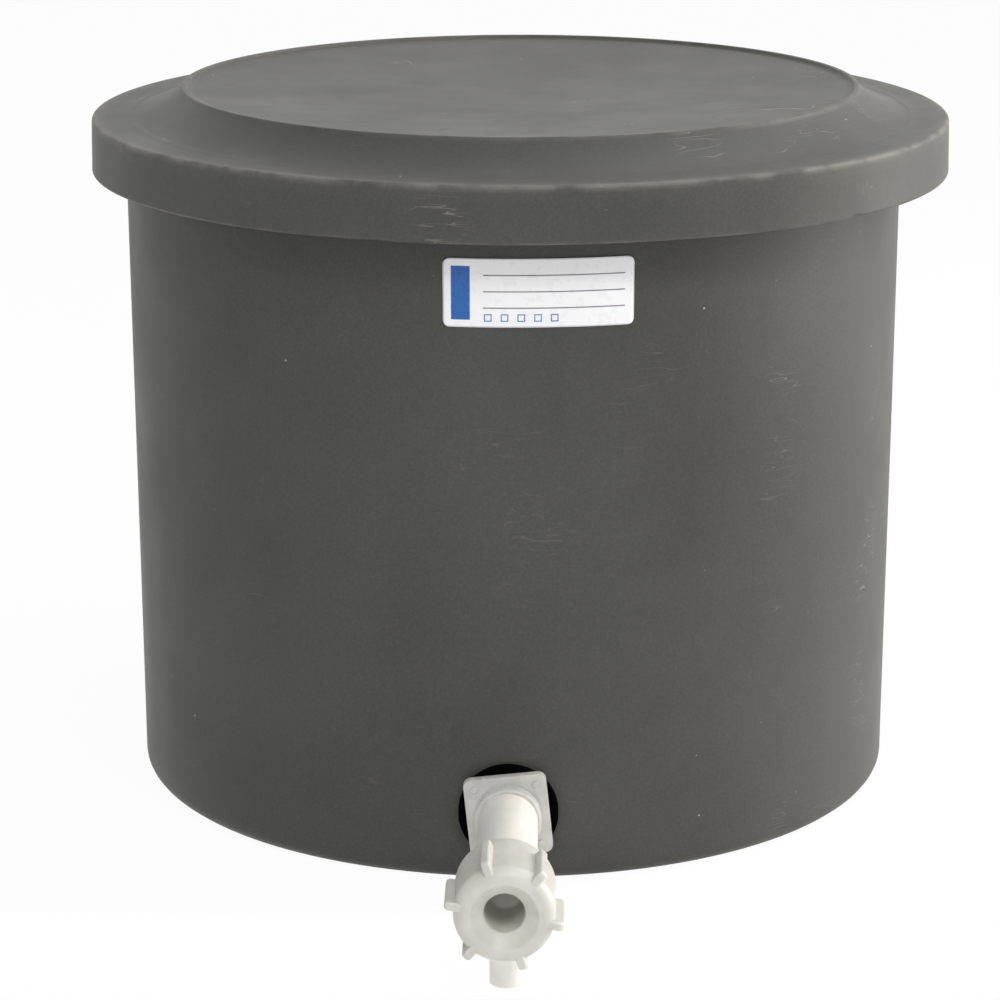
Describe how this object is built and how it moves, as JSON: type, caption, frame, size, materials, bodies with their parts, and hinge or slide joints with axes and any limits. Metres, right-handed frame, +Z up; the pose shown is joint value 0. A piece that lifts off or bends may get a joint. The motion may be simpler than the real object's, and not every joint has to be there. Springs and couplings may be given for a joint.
{
  "type": "polyethylene tank with spigot",
  "caption": "Round grey polyethylene tank with a loose dished lid and a screw-down spigot low on the wall, for storing and drawing off liquids.",
  "frame": {"origin": "centre of the tank's flat underside", "axes": "+Z up along the tank's axis, -Y out along the spigot, +X to the right seen from the front"},
  "size_m": [0.3972, 0.4991, 0.3407],
  "materials": {
    "tank_grey": "matte moulded polyethylene",
    "lid_grey": "matte moulded polyethylene, lightly scuffed",
    "label_white": "smooth printed film",
    "black_rubber": "matte black rubber",
    "natural_plastic": "translucent natural polypropylene",
    "white_plastic": "satin off-white polypropylene"
  },
  "bodies": {
    "tank": {"tank_shell": "tank_grey", "lid": "lid_grey", "label": "label_white", "outer_gasket": "black_rubber", "wall_fitting": "natural_plastic", "inner_washer": "black_rubber", "lock_nut": "white_plastic", "spigot_body": "white_plastic", "tail_o_ring": "black_rubber"},
    "jumper": {"seat_jumper": "white_plastic", "seat_washer": "black_rubber"},
    "hand_knob": {"hand_knob": "white_plastic", "plunger_o_ring": "black_rubber"}
  },
  "joints": [
    {"name": "jumper_slide", "type": "slide", "parent": "tank", "child": "jumper", "axis": [0, -1, 0], "range_m": [0, 0.006]},
    {"name": "knob_turn", "type": "hinge", "parent": "jumper", "child": "hand_knob", "pos_m": [0, -0.278, 0.0335], "axis": [0, -1, 0], "range_deg": [0, 540]}
  ],
  "couplings": [
    {"joint": "jumper_slide", "follows": "knob_turn", "m_per_rad": 0.00063662}
  ]
}
